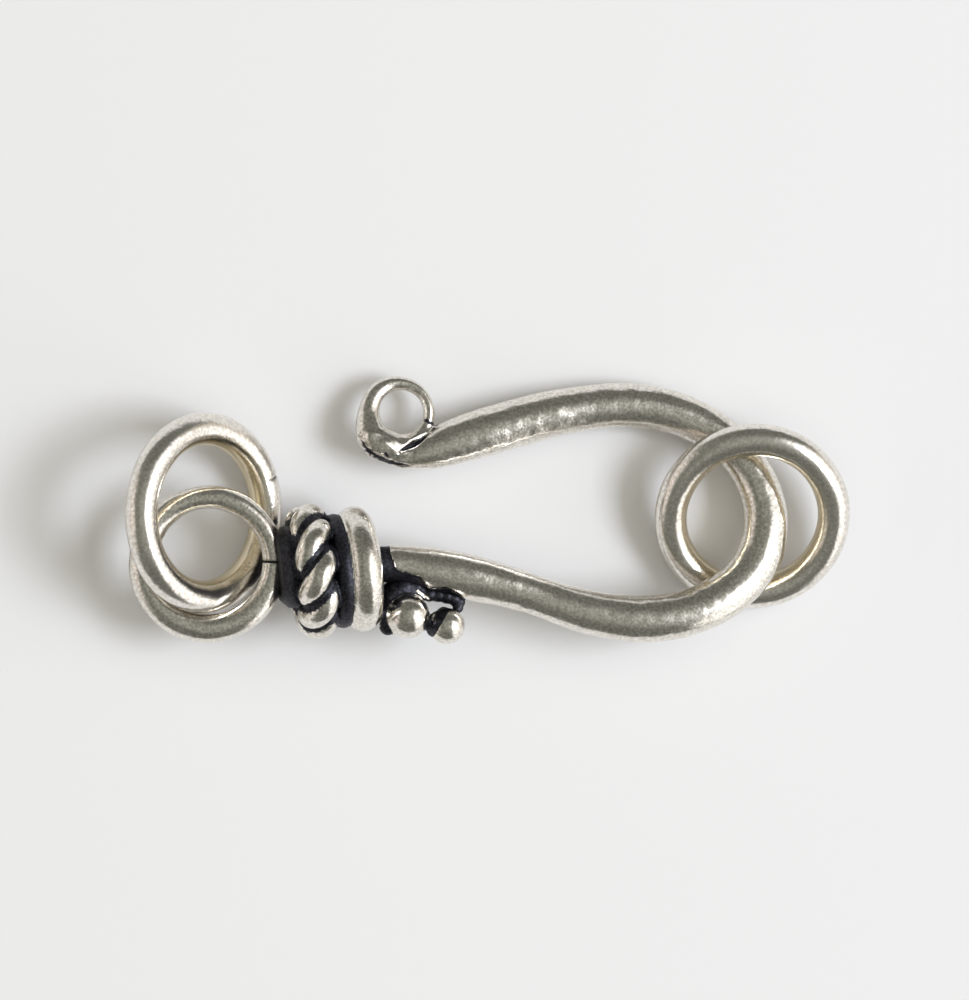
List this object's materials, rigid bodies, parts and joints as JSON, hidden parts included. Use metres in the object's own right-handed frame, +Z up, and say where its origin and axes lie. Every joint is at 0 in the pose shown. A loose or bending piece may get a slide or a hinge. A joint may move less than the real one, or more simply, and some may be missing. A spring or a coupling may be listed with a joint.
{
  "type": "hook and eye clasp",
  "caption": "Oxidised silver hook clasp with rope-twist collar, granules and curled tip, closed through a plain round eye ring, with a loose jump ring at its other end.",
  "frame": {"origin": "on the table, under the middle of the whole clasp as it lies", "axes": "+Z up from the table; +X along the clasp, from the loose jump ring to the eye ring; +Y from the granules' side to the curled tip's side"},
  "size_m": [0.0296, 0.0106, 0.0055],
  "materials": {
    "oxidised_silver": "cast sterling silver, blackened with oxide in its hollows and tumbled bright on its high places",
    "silver_wire": "drawn sterling silver wire, lightly darkened and softly polished"
  },
  "bodies": {
    "root": {"hook": "oxidised_silver", "jump_ring": "silver_wire", "eye_ring": "silver_wire"}
  },
  "joints": []
}
